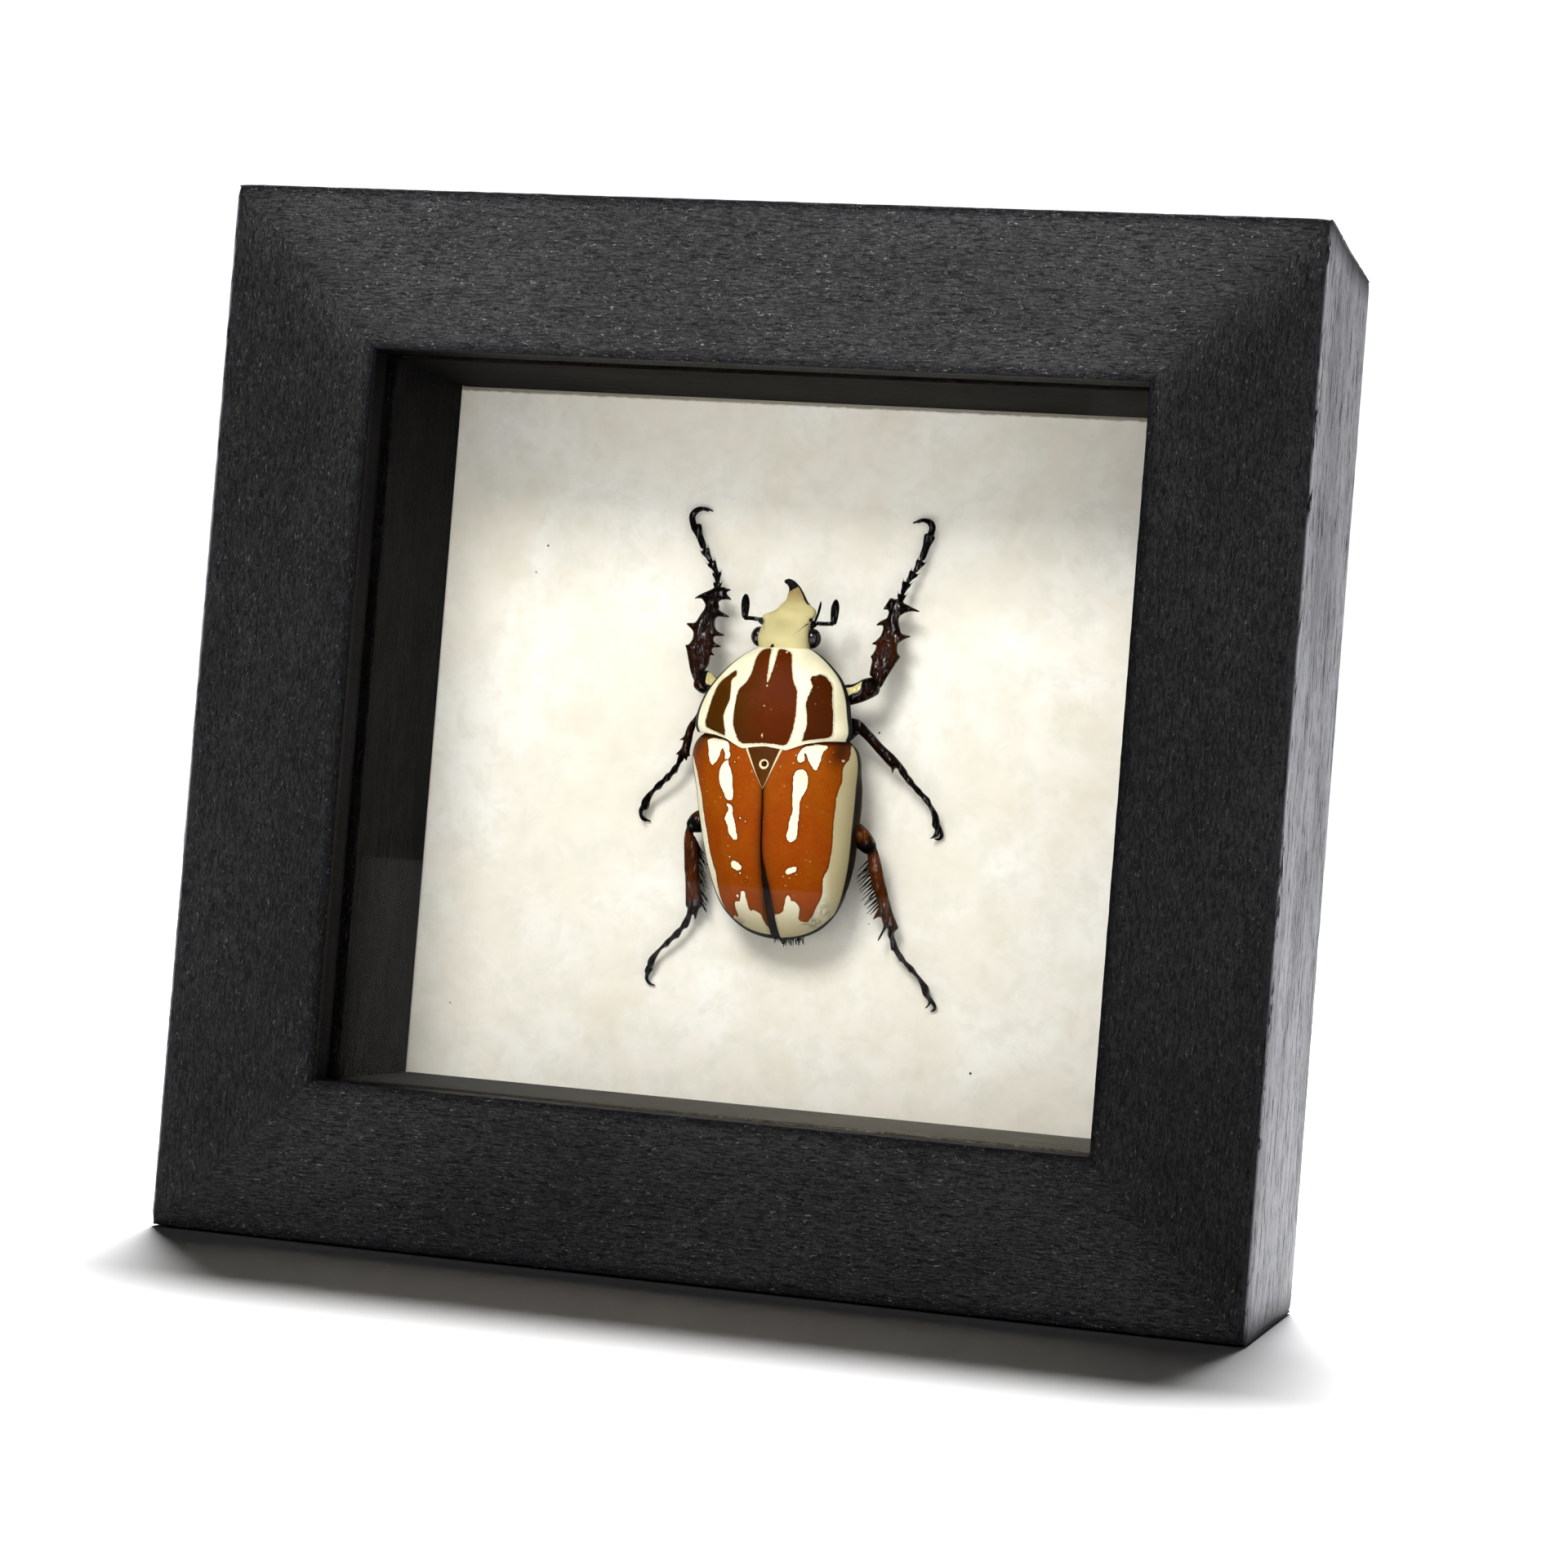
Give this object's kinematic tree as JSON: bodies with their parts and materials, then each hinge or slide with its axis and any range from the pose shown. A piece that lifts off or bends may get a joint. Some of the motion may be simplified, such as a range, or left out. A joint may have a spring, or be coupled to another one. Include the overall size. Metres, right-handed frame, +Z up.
{
  "type": "framed scarab beetle",
  "caption": "Black-stained wooden shadow-box frame with a glass front, standing on its bottom rail, holding a dry horned scarab beetle on cream paper.",
  "frame": {"origin": "middle of the bounding box on the surface that the bottom rail stands on", "axes": "+X to the viewer's right along the frame's width, -Y out of the glass front, +Z up"},
  "size_m": [0.172, 0.0546, 0.164],
  "materials": {
    "black_wood": "black-stained open-grained wood, dull satin",
    "dark_wood": "dark-stained strips, matte",
    "glass": "clear polished",
    "paper": "cream mottled, matte",
    "board": "matte white board",
    "hardboard": "brown pressed hardboard",
    "steel": "zinc-plated",
    "beetle": "glossy orange-brown, cream and black shell"
  },
  "bodies": {
    "root": {"rail_top": "black_wood", "strip_top": "dark_wood", "point_top_1": "steel", "point_top_2": "steel", "rail_right": "black_wood", "strip_right": "dark_wood", "point_right_1": "steel", "point_right_2": "steel", "rail_bottom": "black_wood", "strip_bottom": "dark_wood", "point_bottom_1": "steel", "point_bottom_2": "steel", "rail_left": "black_wood", "strip_left": "dark_wood", "point_left_1": "steel", "point_left_2": "steel", "glass": "glass", "backing_paper": "paper", "mount_board": "board", "back_board": "hardboard", "hanger": "steel", "nail_1": "steel", "nail_2": "steel", "beetle": "beetle"}
  },
  "joints": []
}
